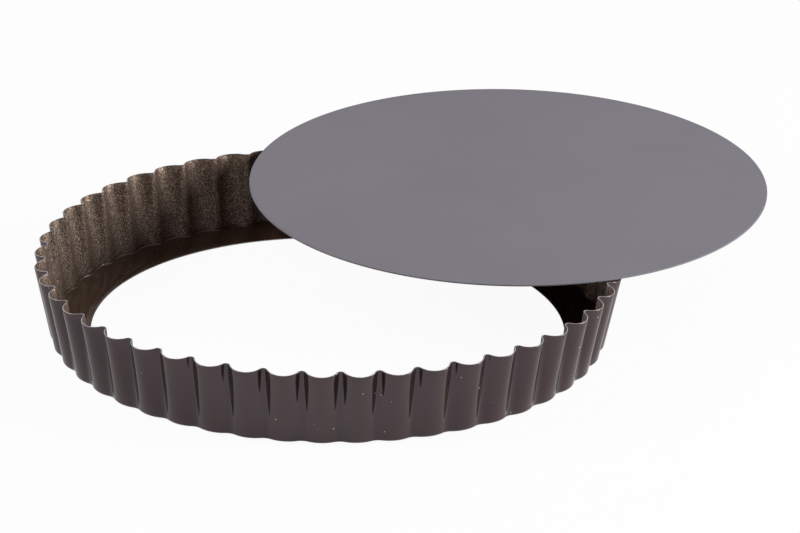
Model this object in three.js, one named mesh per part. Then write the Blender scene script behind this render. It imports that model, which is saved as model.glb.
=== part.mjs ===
// Fluted tart pan with a loose base: a ring pressed from one sheet, whose foot turns in as a
// flat flange, and a flat disc that drops onto that flange. The disc has been pushed out and
// lies across the rim. Millimetres, +Z up, +X from the ring towards the disc.
import * as THREE from 'three';

// Ring: radii and depths are on the outer face, and the height is that of the valleys' tops
const FLUTE_COUNT = 48;
const RING_HEIGHT = 34.2;
const RING_SHEET = 0.6;
const RIM_CREST_RADIUS = 125;
const RIM_FLUTE_DEPTH = 4.6;
const RIM_VALLEY_ROUND = 1.4;
const RIM_CREST_DROP = 0.8;
const FOOT_CREST_RADIUS = 118.1;
const FOOT_FLUTE_DEPTH = 1.75;
const FOOT_VALLEY_ROUND = 5;
const FOOT_BEND = 1.6;
const OPENING_RADIUS = 101;

// Base: it drops onto the flat of the flange, with the clearance all round
const BASE_SHEET = 0.7;
const BASE_EDGE_ROUND = 0.15;
const SEAT_CLEARANCE = 0.95;

// Where the base lies on the rim, and how far the crest nearest to +X is turned from it
const BASE_OFFSET = 113.4;
const REST_GAP = 0.2;
const CREST_TURN_DEGREES = -2.63;

// Facets on each flute, at the foot's bend and round the base
const LOBE_STEPS = 6;
const VALLEY_STEPS = 4;
const BEND_STEPS = 2;
const BASE_STEPS = 96;

const OUTER_BEND = FOOT_BEND + RING_SHEET;
const FOOT_VALLEY_RADIUS = FOOT_CREST_RADIUS - FOOT_FLUTE_DEPTH;
const BASE_RADIUS = FOOT_VALLEY_RADIUS - OUTER_BEND - SEAT_CLEARANCE;

// A point at a distance from a centre, in the direction of an angle
function polar(centre, distance, angle) {
  return new THREE.Vector2(Math.cos(angle), Math.sin(angle)).multiplyScalar(distance).add(centre);
}

// Plan outline of the flutes: broad round lobes whose arcs run on into small valley arcs.
// The lobe's radius is the one that touches both the crest circle and the valley arcs.
function fluteOutline(crestRadius, valleyRadius, valleyRound) {
  const halfPitch = Math.PI / FLUTE_COUNT;
  const valleyReach = valleyRadius + valleyRound;
  const valleyAlong = valleyReach * Math.cos(halfPitch);
  const valleyAcross = valleyReach * Math.sin(halfPitch);
  const crestGap = crestRadius - valleyAlong;
  const lobeRound = (crestGap ** 2 + valleyAcross ** 2 - valleyRound ** 2)
    / (2 * (crestGap + valleyRound));
  const lobeReach = crestRadius - lobeRound;
  const lobeSweep = Math.atan2(valleyAcross, valleyAlong - lobeReach);
  const valleySweep = lobeSweep - halfPitch;
  const axis = new THREE.Vector2();
  const outline = [];
  for (let flute = 0; flute < FLUTE_COUNT; flute += 1) {
    const crestAngle = 2 * flute * halfPitch;
    const valleyAngle = crestAngle + halfPitch;
    const lobeCentre = polar(axis, lobeReach, crestAngle);
    const valleyCentre = polar(axis, valleyReach, valleyAngle);
    for (let step = 0; step < LOBE_STEPS; step += 1) {
      const turn = lobeSweep * (2 * step / LOBE_STEPS - 1);
      outline.push(polar(lobeCentre, lobeRound, crestAngle + turn));
    }
    for (let step = 0; step < VALLEY_STEPS; step += 1) {
      const turn = valleySweep * (1 - 2 * step / VALLEY_STEPS);
      outline.push(polar(valleyCentre, valleyRound, valleyAngle + Math.PI + turn));
    }
  }
  return outline;
}

// One level of a skin of the ring: the outline at a height, inset from the outer face,
// with the crests lower than the valleys by the drop
function skinLevel(crestRadius, fluteDepth, valleyRound, inset, height, crestDrop) {
  const valleyRadius = crestRadius - fluteDepth - inset;
  const outline = fluteOutline(crestRadius - inset, valleyRadius, valleyRound + inset);
  return outline.map((point) => {
    const towardsCrest = (point.length() - valleyRadius) / fluteDepth;
    return new THREE.Vector3(point.x, point.y, height - crestDrop * towardsCrest);
  });
}

function rimLevel(inset) {
  return skinLevel(
    RIM_CREST_RADIUS,
    RIM_FLUTE_DEPTH,
    RIM_VALLEY_ROUND,
    inset,
    RING_HEIGHT,
    RIM_CREST_DROP,
  );
}

// The levels of the bend from flange to wall, for the skin at an inset from the outer face
function bendLevels(inset) {
  const levels = [];
  for (let step = 0; step <= BEND_STEPS; step += 1) {
    const angle = (step / BEND_STEPS) * (Math.PI / 2);
    const bendInset = OUTER_BEND - (OUTER_BEND - inset) * Math.sin(angle);
    const height = OUTER_BEND - (OUTER_BEND - inset) * Math.cos(angle);
    levels.push(
      skinLevel(FOOT_CREST_RADIUS, FOOT_FLUTE_DEPTH, FOOT_VALLEY_ROUND, bendInset, height, 0),
    );
  }
  return levels;
}

// The flange's edge at the opening, point for point on the radii of the level beside it
function openingLevel(level) {
  return level.map((point) => {
    const edge = new THREE.Vector2(point.x, point.y).setLength(OPENING_RADIUS);
    return new THREE.Vector3(edge.x, edge.y, point.z);
  });
}

// Joins level to level, and the last to the first, into one closed ring. Each four-sided
// facet is split along its shorter diagonal, so that the two skins stay parallel.
function joinLevels(levels) {
  const count = levels[0].length;
  const points = levels.flat();
  const corner = (level, column) => (level % levels.length) * count + (column % count);
  const triangles = [];
  for (let level = 0; level < levels.length; level += 1) {
    for (let column = 0; column < count; column += 1) {
      const low = corner(level, column);
      const lowNext = corner(level, column + 1);
      const high = corner(level + 1, column);
      const highNext = corner(level + 1, column + 1);
      const rising = points[low].distanceTo(points[highNext]);
      const falling = points[lowNext].distanceTo(points[high]);
      if (rising < falling) {
        triangles.push(low, lowNext, highNext, low, highNext, high);
      } else {
        triangles.push(low, lowNext, high, lowNext, highNext, high);
      }
    }
  }
  const geometry = new THREE.BufferGeometry().setFromPoints(points);
  geometry.setIndex(triangles);
  geometry.computeVertexNormals();
  return geometry;
}

function ringGeometry() {
  const outerBend = bendLevels(0);
  const innerBend = bendLevels(RING_SHEET);
  return joinLevels([
    openingLevel(outerBend[0]),
    ...outerBend,
    rimLevel(0),
    rimLevel(RING_SHEET),
    ...innerBend.toReversed(),
    openingLevel(innerBend[0]),
  ]);
}

// A flat disc whose edge is broken by a small chamfer above and below
function baseGeometry() {
  const profile = [
    new THREE.Vector2(0, 0),
    new THREE.Vector2(BASE_RADIUS - BASE_EDGE_ROUND, 0),
    new THREE.Vector2(BASE_RADIUS, BASE_EDGE_ROUND),
    new THREE.Vector2(BASE_RADIUS, BASE_SHEET - BASE_EDGE_ROUND),
    new THREE.Vector2(BASE_RADIUS - BASE_EDGE_ROUND, BASE_SHEET),
    new THREE.Vector2(0, BASE_SHEET),
  ];
  return new THREE.LatheGeometry(profile, BASE_STEPS).rotateX(Math.PI / 2);
}

const ring = new THREE.Mesh(
  ringGeometry(),
  new THREE.MeshStandardMaterial({ color: 0x4d4446, roughness: 0.35, metalness: 0.1 }),
);
ring.name = 'fluted_ring';
ring.rotation.z = THREE.MathUtils.degToRad(CREST_TURN_DEGREES);

const base = new THREE.Mesh(
  baseGeometry(),
  new THREE.MeshStandardMaterial({ color: 0x7f7b83, roughness: 0.45, metalness: 0.1 }),
);
base.name = 'loose_base';
base.position.set(BASE_OFFSET, 0, RING_HEIGHT + REST_GAP);

// The origin is under the middle of the whole pan, on the surface that it stands on
const pan = new THREE.Group();
pan.add(ring, base);
const middle = new THREE.Box3().setFromObject(pan, true).getCenter(new THREE.Vector3());
pan.position.set(-middle.x, -middle.y, 0);

export default pan;
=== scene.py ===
# Fluted tart pan with its loose base lying across the rim, on a plain white table.
# Metres, +Z up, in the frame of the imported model.
import math
import bmesh
import bpy
from mathutils import Matrix, Vector, noise


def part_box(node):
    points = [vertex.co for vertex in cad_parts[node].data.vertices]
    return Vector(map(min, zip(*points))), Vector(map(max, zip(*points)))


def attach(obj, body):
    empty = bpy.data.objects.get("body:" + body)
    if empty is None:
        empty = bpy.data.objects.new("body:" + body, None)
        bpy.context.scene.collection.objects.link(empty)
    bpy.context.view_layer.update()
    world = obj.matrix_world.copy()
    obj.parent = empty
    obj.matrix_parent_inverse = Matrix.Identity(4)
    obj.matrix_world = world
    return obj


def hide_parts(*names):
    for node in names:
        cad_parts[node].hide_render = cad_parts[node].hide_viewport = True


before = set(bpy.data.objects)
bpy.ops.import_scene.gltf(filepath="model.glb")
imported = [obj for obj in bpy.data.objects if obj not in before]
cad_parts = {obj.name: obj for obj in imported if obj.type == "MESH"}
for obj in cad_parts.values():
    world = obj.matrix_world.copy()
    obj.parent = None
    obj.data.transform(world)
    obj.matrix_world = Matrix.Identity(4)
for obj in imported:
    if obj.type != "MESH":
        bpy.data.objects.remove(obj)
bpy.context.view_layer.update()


# Fluted ring: the side of the pan, one steel sheet pressed into 48 flutes and flared to a raw
# rim, with its foot bent in as a narrow flange that the base drops onto. It is lacquered dark
# brown outside, has a speckled non-stick coating inside, and bare steel at its cut edges.
MM = 0.001
flute_count = 48
flute_turn = math.radians(-2.63)
sheet = 0.6 * MM
ring_low, ring_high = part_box("fluted_ring")
ring_axis = (ring_low + ring_high) / 2
rim_height = ring_high.z
rim_crest = (ring_high.x - ring_low.x) / 2 / math.cos(flute_turn)
rim_depth = 4.6 * MM
rim_round = 1.4 * MM
rim_drop = 0.8 * MM
foot_inset = 6.55 * MM
foot_crest = rim_crest - foot_inset
foot_depth = 1.6 * MM
foot_round = 6 * MM
bend_round = 1.8 * MM
flange_rise = 0.85 * MM
opening_radius = 101 * MM
lobe_steps = 10
valley_steps = 8
wall_rows = 8
bend_rows = 7
flange_rows = 3
merge_distance = 1e-3 * MM
press_error = 0.12 * MM
press_dents_per_metre = 55
cut_edge_round = 0.18 * MM
cut_edge_angle = math.radians(50)
lacquer_slot = 0
flange_slot = 2
edge_slot = 4

half_pitch = math.pi / flute_count
wall_slope = math.atan2(rim_height, rim_crest - foot_crest)
flange_slope = math.atan2(flange_rise, foot_crest - bend_round - opening_radius)
foot_height = flange_rise + bend_round * (math.cos(flange_slope) - math.cos(wall_slope))


def half_flute(mesh, crest, depth, valley_round, height, drop):
    """Edges of half a flute's outline, from its crest to the bottom of the valley beside it."""
    valley_reach = crest - depth + valley_round
    along = valley_reach * math.cos(half_pitch)
    across = valley_reach * math.sin(half_pitch)
    gap = crest - along
    lobe_round = (gap ** 2 + across ** 2 - valley_round ** 2) / (2 * (gap + valley_round))
    lobe_sweep = math.atan2(across, along - crest + lobe_round)
    first_edge = len(mesh.edges)
    crest_point = mesh.verts.new((crest, 0, height))
    lobe = bmesh.ops.spin(
        mesh, geom=[crest_point], cent=(crest - lobe_round, 0, height), axis=(0, 0, 1),
        angle=lobe_sweep, steps=lobe_steps)
    bmesh.ops.spin(
        mesh, geom=lobe["geom_last"], cent=(along, across, height), axis=(0, 0, -1),
        angle=lobe_sweep - half_pitch, steps=valley_steps)
    mesh.edges.ensure_lookup_table()
    outline = mesh.edges[first_edge:]
    for point in {point for edge in outline for point in edge.verts}:
        towards_crest = (point.co.xy.length - crest + depth) / depth
        point.co.z = height - drop * towards_crest
    return outline


def extrude_row(mesh, edges):
    """Extrudes a row of edges and gives the new row's points and edges."""
    made = bmesh.ops.extrude_edge_only(mesh, edges=edges)["geom"]
    points = [part for part in made if isinstance(part, bmesh.types.BMVert)]
    edges_made = [part for part in made if isinstance(part, bmesh.types.BMEdge)]
    known = set(points)
    row = [edge for edge in edges_made if known.issuperset(edge.verts)]
    return points, row


def bridge(mesh, upper, lower, rows):
    """Joins two rows of edges by a sheet of so many rows of faces."""
    struts = bmesh.ops.bridge_loops(mesh, edges=upper + lower)["edges"]
    bmesh.ops.subdivide_edges(mesh, edges=struts, cuts=rows - 1, use_grid_fill=True)


def half_flute_sheet(mesh):
    """Half a flute of the sheet, from the rim down the wall and round the bend to the opening."""
    rim = half_flute(mesh, rim_crest, rim_depth, rim_round, rim_height, drop=rim_drop)
    row = half_flute(mesh, foot_crest, foot_depth, foot_round, foot_height, drop=0)
    bridge(mesh, rim, row, wall_rows)
    wall_faces = len(mesh.faces)
    slope = wall_slope
    for step in range(bend_rows):
        next_slope = slope - (wall_slope - flange_slope) / bend_rows
        inset = bend_round * (math.sin(slope) - math.sin(next_slope))
        fall = bend_round * (math.cos(next_slope) - math.cos(slope))
        points, row = extrude_row(mesh, row)
        shrink = 1 - inset / foot_crest
        bmesh.ops.scale(mesh, verts=points, vec=(shrink, shrink, 1))
        bmesh.ops.translate(mesh, verts=points, vec=(0, 0, -fall))
        slope = next_slope
    first_edge = len(mesh.edges)
    edge_point = mesh.verts.new((opening_radius, 0, 0))
    bmesh.ops.spin(
        mesh, geom=[edge_point], cent=(0, 0, 0), axis=(0, 0, 1),
        angle=half_pitch, steps=lobe_steps + valley_steps)
    mesh.edges.ensure_lookup_table()
    bridge(mesh, row, mesh.edges[first_edge:], flange_rows)
    mesh.faces.ensure_lookup_table()
    for face in mesh.faces[wall_faces:]:
        face.material_index = flange_slot


def repeat_flute(mesh):
    """Mirrors the half flute at its crest, and repeats the flute all round the ring."""
    half = mesh.verts[:] + mesh.edges[:] + mesh.faces[:]
    bmesh.ops.mirror(mesh, geom=half, axis="Y", merge_dist=merge_distance)
    flute = mesh.verts[:] + mesh.edges[:] + mesh.faces[:]
    bmesh.ops.spin(
        mesh, geom=flute, cent=(0, 0, 0), axis=(0, 0, 1),
        angle=2 * half_pitch * (flute_count - 1), steps=flute_count - 1, use_duplicate=True)
    bmesh.ops.remove_doubles(mesh, verts=mesh.verts, dist=merge_distance)


def mark_and_dent(mesh):
    """Marks how near each point is to a valley, and gives the wall the press's unevenness."""
    valley = mesh.verts.layers.float.new("valley")
    for point in mesh.verts:
        half_pitches = math.atan2(point.co.y, point.co.x) / half_pitch
        point[valley] = abs((half_pitches + 1) % 2 - 1)
        unevenness = noise.noise(point.co * press_dents_per_metre) * 0.5 + 0.5
        share = press_error * unevenness * point.co.z / rim_height / point.co.xy.length
        point.co.x -= point.co.x * share
        point.co.y -= point.co.y * share


def face_outwards(mesh):
    """Turns all faces of the open sheet outwards, judged by the highest one."""
    bmesh.ops.recalc_face_normals(mesh, faces=mesh.faces)
    mesh.faces.ensure_lookup_table()
    highest = max(mesh.faces, key=lambda face: face.calc_center_median().z)
    if highest.normal.dot(highest.calc_center_median()) < 0:
        bmesh.ops.reverse_faces(mesh, faces=mesh.faces)


def ring_mesh():
    """The outer face of the sheet, open at the rim and at the flange's edge."""
    mesh = bmesh.new()
    half_flute_sheet(mesh)
    repeat_flute(mesh)
    mark_and_dent(mesh)
    face_outwards(mesh)
    turn = Matrix.Rotation(flute_turn, 3, "Z")
    bmesh.ops.rotate(mesh, verts=mesh.verts, cent=(0, 0, 0), matrix=turn)
    bmesh.ops.translate(mesh, verts=mesh.verts, vec=(ring_axis.x, ring_axis.y, 0))
    for face in mesh.faces:
        face.smooth = True
    return mesh


def new_piece(name, mesh):
    """An object at the origin from a finished bmesh."""
    data = bpy.data.meshes.new(name)
    mesh.to_mesh(data)
    mesh.free()
    piece = bpy.data.objects.new(name, data)
    bpy.context.scene.collection.objects.link(piece)
    return piece


def new_material(name):
    """A material with its node tree, its shader and the place on the piece."""
    material = bpy.data.materials.new(name)
    material.use_nodes = True
    tree = material.node_tree
    shader = tree.nodes["Principled BSDF"]
    place = tree.nodes.new("ShaderNodeTexCoord").outputs["Object"]
    return material, tree, shader, place


def feed(tree, socket, value):
    """Sets a socket to a number or a colour, or links it to another socket."""
    if isinstance(value, bpy.types.NodeSocket):
        tree.links.new(value, socket)
    elif isinstance(value, tuple):
        socket.default_value = (*value, 1)
    else:
        socket.default_value = value


def blend_colours(tree, mask, low, high):
    """Colours that a mask runs between."""
    blend = tree.nodes.new("ShaderNodeMix")
    blend.data_type = "RGBA"
    feed(tree, blend.inputs["Factor"], mask)
    feed(tree, blend.inputs["A"], low)
    feed(tree, blend.inputs["B"], high)
    return blend.outputs["Result"]


def spread_values(tree, value, low, high, start=0, end=1):
    """Values from low to high, as another value runs from start to end."""
    spread = tree.nodes.new("ShaderNodeMapRange")
    spread.inputs["From Min"].default_value = start
    spread.inputs["From Max"].default_value = end
    spread.inputs["To Min"].default_value = low
    spread.inputs["To Max"].default_value = high
    tree.links.new(value, spread.inputs["Value"])
    return spread.outputs["Result"]


def add_bump(tree, shader, height, depth):
    """Roughens a shader's surface by a height that runs over so much depth."""
    bump = tree.nodes.new("ShaderNodeBump")
    bump.inputs["Distance"].default_value = depth
    tree.links.new(height, bump.inputs["Height"])
    tree.links.new(bump.outputs["Normal"], shader.inputs["Normal"])


def coating_grain_group():
    """Fine spatter of a sprayed coating: a mask of lighter grains and their height."""
    group = bpy.data.node_groups.new("coating_grain", "ShaderNodeTree")
    sockets = (
        ("Place", "INPUT", "NodeSocketVector"),
        ("Grains per metre", "INPUT", "NodeSocketFloat"),
        ("Mask", "OUTPUT", "NodeSocketFloat"),
        ("Height", "OUTPUT", "NodeSocketFloat"),
    )
    for name, side, kind in sockets:
        group.interface.new_socket(name, in_out=side, socket_type=kind)
    start = group.nodes.new("NodeGroupInput")
    end = group.nodes.new("NodeGroupOutput")
    spatter = group.nodes.new("ShaderNodeTexNoise")
    spatter.inputs["Detail"].default_value = 3
    spatter.inputs["Roughness"].default_value = 0.55
    group.links.new(start.outputs["Place"], spatter.inputs["Vector"])
    group.links.new(start.outputs["Grains per metre"], spatter.inputs["Scale"])
    mask = spread_values(group, spatter.outputs["Fac"], low=0, high=1, start=0.42, end=0.62)
    group.links.new(mask, end.inputs["Mask"])
    group.links.new(spatter.outputs["Fac"], end.inputs["Height"])
    return group


coating_grain = coating_grain_group()


def grain_node(tree, place, grains_per_metre):
    """The spatter placed in a material, with its own fineness."""
    node = tree.nodes.new("ShaderNodeGroup")
    node.node_tree = coating_grain
    node.inputs["Grains per metre"].default_value = grains_per_metre
    tree.links.new(place, node.inputs["Place"])
    return node


def dust_specks(tree, place, specks_per_metre, speck_radius):
    """Mask of a few tiny specks, far apart, solid in the middle and faint at the edge."""
    cells = tree.nodes.new("ShaderNodeTexVoronoi")
    cells.inputs["Scale"].default_value = specks_per_metre
    tree.links.new(place, cells.inputs["Vector"])
    reach = speck_radius * specks_per_metre
    solid_share = 0.6
    return spread_values(
        tree, cells.outputs["Distance"], low=1, high=0, start=reach * solid_share, end=reach)


def outside_lacquer():
    """Glossy dark brown lacquer with a little dust, and a painted cool shade in the valleys."""
    dark_brown = (0.022, 0.0105, 0.0066)
    light_brown = (0.027, 0.0130, 0.0084)
    # Painted shade: a cool black for the valleys, standing in for the shadowed table they mirror.
    valley_shade_black = (0.009, 0.0115, 0.0145)
    dust_grey = (0.62, 0.60, 0.60)
    material, tree, shader, place = new_material("ring_outside_lacquer")
    clouds = grain_node(tree, place, grains_per_metre=45)
    fine = grain_node(tree, place, grains_per_metre=2600)
    valley = tree.nodes.new("ShaderNodeAttribute")
    valley.attribute_name = "valley"
    # Painted shade: the mask blends the lacquer towards the cool black near each valley.
    valley_shade_mask = spread_values(tree, valley.outputs["Fac"], low=0, high=1, start=0.86, end=0.97)
    dust = dust_specks(tree, place, specks_per_metre=140, speck_radius=0.35 * MM)
    brown = blend_colours(tree, clouds.outputs["Mask"], dark_brown, light_brown)
    clean = blend_colours(tree, valley_shade_mask, brown, valley_shade_black)
    colour = blend_colours(tree, dust, clean, dust_grey)
    roughness = spread_values(tree, fine.outputs["Mask"], low=0.05, high=0.09)
    tree.links.new(colour, shader.inputs["Base Color"])
    tree.links.new(roughness, shader.inputs["Roughness"])
    shader.inputs["IOR"].default_value = 1.72
    shader.inputs["Specular Tint"].default_value = (1, 0.82, 0.92, 1)
    add_bump(tree, shader, fine.outputs["Height"], depth=0.003 * MM)
    return material


def inside_coating():
    """Satin non-stick coating on the wall, sprayed on as fine droplets with a metallic gleam."""
    ground = (0.017, 0.0106, 0.0076)
    droplet = (0.278, 0.198, 0.156)
    material, tree, shader, place = new_material("ring_inside_coating")
    spatter = grain_node(tree, place, grains_per_metre=2000)
    droplets = spread_values(tree, spatter.outputs["Mask"], low=0, high=1, start=0.3)
    colour = blend_colours(tree, droplets, ground, droplet)
    gleam = spread_values(tree, droplets, low=0, high=0.8)
    roughness = spread_values(tree, droplets, low=0.50, high=0.42)
    tree.links.new(colour, shader.inputs["Base Color"])
    tree.links.new(gleam, shader.inputs["Metallic"])
    tree.links.new(roughness, shader.inputs["Roughness"])
    shader.inputs["IOR"].default_value = 1.5
    shader.inputs["Specular Tint"].default_value = (1, 0.78, 0.62, 1)
    add_bump(tree, shader, spatter.outputs["Height"], depth=0.15 * MM)
    return material


def flange_film():
    """The same coating on the flange, where it has run together to a smooth dark film."""
    dark_brown = (0.042, 0.0220, 0.0140)
    light_brown = (0.059, 0.0320, 0.0215)
    material, tree, shader, place = new_material("ring_flange_film")
    clouds = grain_node(tree, place, grains_per_metre=90)
    fine = grain_node(tree, place, grains_per_metre=2200)
    colour = blend_colours(tree, clouds.outputs["Mask"], dark_brown, light_brown)
    roughness = spread_values(tree, fine.outputs["Mask"], low=0.10, high=0.15)
    tree.links.new(colour, shader.inputs["Base Color"])
    tree.links.new(roughness, shader.inputs["Roughness"])
    shader.inputs["IOR"].default_value = 1.42
    shader.inputs["Specular Tint"].default_value = (1, 0.80, 0.66, 1)
    add_bump(tree, shader, fine.outputs["Height"], depth=0.02 * MM)
    return material


def cut_steel():
    """Raw sheared edge of the sheet, bright where the shear burnished it."""
    torn_steel = (0.50, 0.47, 0.46)
    burnished_steel = (0.72, 0.69, 0.68)
    material, tree, shader, place = new_material("ring_cut_edge")
    fine = grain_node(tree, place, grains_per_metre=900)
    colour = blend_colours(tree, fine.outputs["Mask"], torn_steel, burnished_steel)
    roughness = spread_values(tree, fine.outputs["Mask"], low=0.30, high=0.45)
    tree.links.new(colour, shader.inputs["Base Color"])
    tree.links.new(roughness, shader.inputs["Roughness"])
    shader.inputs["Metallic"].default_value = 0.9
    return material


# The slots in turn: wall outside and inside, flange below and above, cut edges
ring = new_piece("fluted_ring_sheet", ring_mesh())
lacquer = outside_lacquer()
for finish in (lacquer, inside_coating(), lacquer, flange_film(), cut_steel()):
    ring.data.materials.append(finish)
thickness = ring.modifiers.new("sheet", "SOLIDIFY")
thickness.thickness = sheet
thickness.offset = -1
thickness.use_even_offset = True
thickness.use_quality_normals = True
thickness.material_offset = 1
thickness.material_offset_rim = edge_slot
rounding = ring.modifiers.new("edges", "BEVEL")
rounding.width = cut_edge_round
rounding.segments = 2
rounding.material = lacquer_slot
rounding.limit_method = "ANGLE"
rounding.angle_limit = cut_edge_angle
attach(ring, "ring")
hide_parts("fluted_ring")


# Loose base: a flat disc sheared from thin steel sheet, coated satin grey all over. It drops
# onto the ring's flange, and here it has been lifted out and lies flat across the rim.
base_low, base_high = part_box("loose_base")
base_centre = (base_low + base_high) / 2
base_radius = (base_high.y - base_low.y) / 2
base_sheet = base_high.z - base_low.z
base_sides = 256
edge_round = 0.2 * MM
edge_band = 0.5 * MM


def base_mesh():
    """The disc with rounded edges, and a narrow band that keeps its flats shaded flat."""
    mesh = bmesh.new()
    bmesh.ops.create_circle(mesh, cap_ends=True, segments=base_sides, radius=base_radius)
    lifted = bmesh.ops.extrude_face_region(mesh, geom=mesh.faces[:])["geom"]
    top = [part for part in lifted if isinstance(part, bmesh.types.BMVert)]
    bmesh.ops.translate(mesh, verts=top, vec=(0, 0, base_sheet))
    bmesh.ops.recalc_face_normals(mesh, faces=mesh.faces)
    corners = [
        edge for edge in mesh.edges
        if abs(edge.verts[0].co.z - edge.verts[1].co.z) < edge_round]
    bmesh.ops.bevel(
        mesh, geom=corners, offset=edge_round, offset_type="OFFSET", affect="EDGES",
        segments=3, profile=0.5, material=-1)
    flats = [face for face in mesh.faces if len(face.verts) == base_sides]
    bmesh.ops.inset_region(mesh, faces=flats, thickness=edge_band)
    for face in mesh.faces:
        face.smooth = True
    bmesh.ops.translate(mesh, verts=mesh.verts, vec=(base_centre.x, base_centre.y, base_low.z))
    return mesh


def base_coating():
    """Satin grey non-stick coating, very even, with a faint warm and cool drift."""
    warm_grey = (0.205, 0.189, 0.219)
    cool_grey = (0.211, 0.199, 0.232)
    material, tree, shader, place = new_material("base_coating")
    drift = grain_node(tree, place, grains_per_metre=14)
    fine = grain_node(tree, place, grains_per_metre=2400)
    colour = blend_colours(tree, drift.outputs["Mask"], warm_grey, cool_grey)
    roughness = spread_values(tree, fine.outputs["Mask"], low=0.68, high=0.76)
    tree.links.new(colour, shader.inputs["Base Color"])
    tree.links.new(roughness, shader.inputs["Roughness"])
    shader.inputs["IOR"].default_value = 1.35
    add_bump(tree, shader, fine.outputs["Height"], depth=0.006 * MM)
    return material


base = new_piece("loose_base_disc", base_mesh())
base.data.materials.append(base_coating())
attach(base, "base")
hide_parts("loose_base")


# Table, light and camera: a seamless white table under a white tent of light, with a large
# soft lamp on each side, and a long lens that looks down on the pan from the front.
floor_size = 12
floor_white = 0.88
floor_seen = 0.95
floor_mirrored = 0.3
tent_strength = 0.2
tent_mirrored = 0.73
camera_aim = Vector((ring_axis.x + 72.3 * MM, ring_axis.y + 25.6 * MM, 0))
camera_distance = 2.5489
camera_heading = math.radians(-47.233)
camera_down = math.radians(23.043)
camera_roll = math.radians(0.948)
camera_lens = 262.1
camera_sensor = 36
camera_reach = 100
lamp_size = 0.8
lamp_distance = 1.6
right_lamp_turn = math.radians(84)
right_lamp_down = math.radians(21)
right_lamp_power = 31
left_lamp_turn = math.radians(-82)
left_lamp_down = math.radians(36)
left_lamp_power = 12.5


def combine(tree, operation, first, second):
    """A number made from two others."""
    node = tree.nodes.new("ShaderNodeMath")
    node.operation = operation
    feed(tree, node.inputs[0], first)
    feed(tree, node.inputs[1], second)
    return node.outputs["Value"]


def bare_white(tree, seen, mirrored):
    """Share of bare white in what is seen straight on, and in what the pan mirrors."""
    rays = tree.nodes.new("ShaderNodeLightPath").outputs
    mirror = combine(tree, "MAXIMUM", rays["Is Glossy Ray"], rays["Is Transmission Ray"])
    straight_share = combine(tree, "MULTIPLY", rays["Is Camera Ray"], seen)
    mirror_share = combine(tree, "MULTIPLY", mirror, mirrored)
    return combine(tree, "MAXIMUM", straight_share, mirror_share)


def table_white():
    """White table, whose shadow is fainter on the seamless white that the camera sees."""
    material = bpy.data.materials.new("table_white")
    material.use_nodes = True
    tree = material.node_tree
    tree.nodes.clear()
    matt = tree.nodes.new("ShaderNodeBsdfDiffuse")
    matt.inputs["Color"].default_value = (floor_white, floor_white, floor_white, 1)
    glow = tree.nodes.new("ShaderNodeEmission")
    mix = tree.nodes.new("ShaderNodeMixShader")
    tree.links.new(bare_white(tree, floor_seen, floor_mirrored), mix.inputs["Fac"])
    tree.links.new(matt.outputs[0], mix.inputs[1])
    tree.links.new(glow.outputs[0], mix.inputs[2])
    out = tree.nodes.new("ShaderNodeOutputMaterial")
    tree.links.new(mix.outputs[0], out.inputs["Surface"])
    return material


def light_tent():
    """White tent all round, a soft fill of light that looks bare white to the camera."""
    world = bpy.data.worlds.new("light_tent")
    world.use_nodes = True
    tree = world.node_tree
    tent = tree.nodes["Background"]
    tent.inputs["Color"].default_value = (1, 1, 1, 1)
    white = bare_white(tree, 1, tent_mirrored)
    strength = spread_values(tree, white, low=tent_strength, high=1)
    tree.links.new(strength, tent.inputs["Strength"])
    return world


floor_mesh = bmesh.new()
bmesh.ops.create_grid(floor_mesh, x_segments=1, y_segments=1, size=floor_size)
floor = new_piece("table", floor_mesh)
floor.data.materials.append(table_white())
bpy.context.scene.world = light_tent()


def aimed(heading, down):
    """Turn of a lamp or a camera that looks down from a heading."""
    return Matrix.Rotation(heading, 3, "Z") @ Matrix.Rotation(math.pi / 2 - down, 3, "X")


def softbox(name, turn_from_camera, down, power):
    """A large square lamp that faces the middle of the pan."""
    turn = aimed(camera_heading + turn_from_camera, down)
    light = bpy.data.lights.new(name, "AREA")
    light.size = lamp_size
    light.energy = power
    lamp = bpy.data.objects.new(name, light)
    lamp.location = turn @ Vector((0, 0, lamp_distance))
    lamp.rotation_euler = turn.to_euler()
    bpy.context.scene.collection.objects.link(lamp)


softbox("right_softbox", right_lamp_turn, right_lamp_down, right_lamp_power)
softbox("left_softbox", left_lamp_turn, left_lamp_down, left_lamp_power)

camera_turn = aimed(camera_heading, camera_down)
camera_data = bpy.data.cameras.new("camera")
camera_data.sensor_width = camera_sensor
camera_data.lens = camera_lens
camera_data.clip_end = camera_reach
camera = bpy.data.objects.new("camera", camera_data)
camera.location = camera_aim + camera_turn @ Vector((0, 0, camera_distance))
camera.rotation_euler = (camera_turn @ Matrix.Rotation(camera_roll, 3, "Z")).to_euler()
bpy.context.scene.collection.objects.link(camera)
bpy.context.scene.camera = camera
bpy.context.scene.view_settings.view_transform = "Standard"
